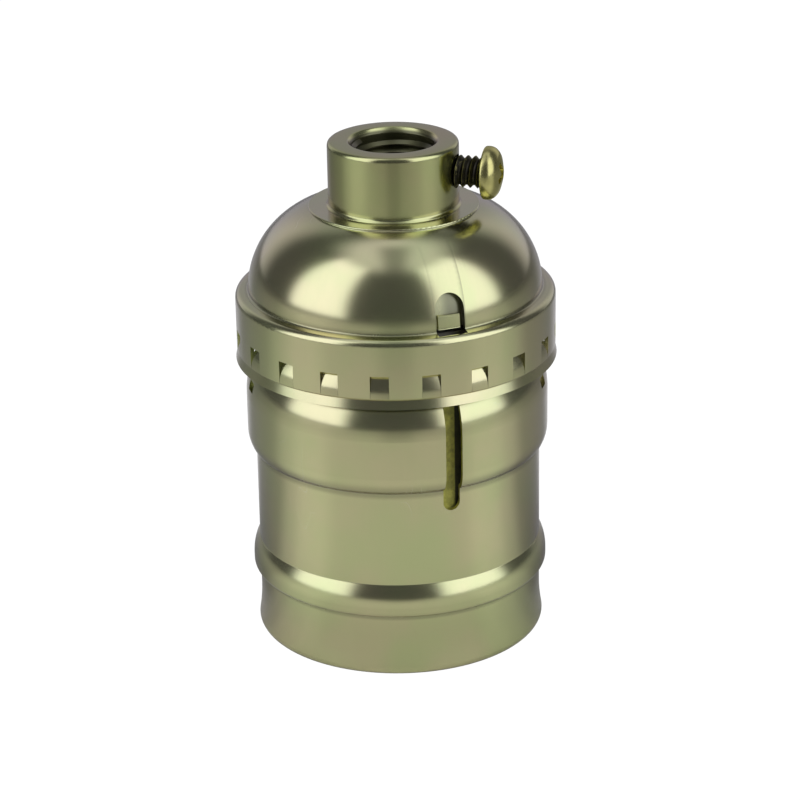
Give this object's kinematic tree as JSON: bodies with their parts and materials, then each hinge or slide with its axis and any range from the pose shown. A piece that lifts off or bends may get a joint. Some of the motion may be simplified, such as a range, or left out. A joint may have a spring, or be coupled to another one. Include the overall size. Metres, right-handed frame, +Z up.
{
  "type": "lamp holder",
  "caption": "Drawn aluminium lamp holder for a medium screw lamp, with a push-on domed cap, a threaded neck and a side locking screw.",
  "frame": {"origin": "on the axis, in the plane of the shell's rim, which is the lowest point", "axes": "+Z up the axis from the lamp mouth to the threaded neck; -Y is the front, with the slot 21 degrees from it towards +X"},
  "size_m": [0.0393, 0.0392, 0.0625],
  "materials": {
    "bronze_anodised_aluminium": "polished, anodised light bronze",
    "bushing_aluminium": "turned, anodised light bronze",
    "gilt_steel": "yellow passivated screw",
    "fibre_paper": "green vulcanised fibre",
    "porcelain": "glazed white porcelain",
    "rolled_aluminium": "bright rolled",
    "contact_brass": "bright stamped",
    "plated_steel": "zinc plated",
    "rivet_aluminium": "bright"
  },
  "bodies": {
    "base": {"outer_shell": "bronze_anodised_aluminium", "insulating_sleeve": "fibre_paper", "porcelain_block": "porcelain", "screw_shell": "rolled_aluminium", "centre_contact": "contact_brass", "live_terminal": "contact_brass", "neutral_terminal": "contact_brass", "neutral_washer": "plated_steel", "live_washer": "plated_steel", "neutral_rivet": "rivet_aluminium", "shell_rivet": "rivet_aluminium", "contact_rivet": "contact_brass"},
    "top_cap": {"cap": "bronze_anodised_aluminium", "neck_bushing": "bushing_aluminium"},
    "side_screw": {"locking_screw": "gilt_steel"},
    "neutral_binding_screw": {"neutral_screw": "plated_steel"},
    "live_binding_screw": {"live_screw": "plated_steel"}
  },
  "joints": [
    {"name": "cap_lift", "type": "slide", "parent": "base", "child": "top_cap", "axis": [0, 0, 1], "range_m": [0, 0.03]},
    {"name": "side_screw_travel", "type": "slide", "parent": "top_cap", "child": "side_screw", "axis": [-0.9659, 0.2588, 0], "range_m": [-0.003, 0.0028]},
    {"name": "neutral_screw_travel", "type": "slide", "parent": "base", "child": "neutral_binding_screw", "axis": [0, 0, 1], "range_m": [0, 0.0014]},
    {"name": "live_screw_travel", "type": "slide", "parent": "base", "child": "live_binding_screw", "axis": [0, 0, 1], "range_m": [0, 0.0014]}
  ]
}
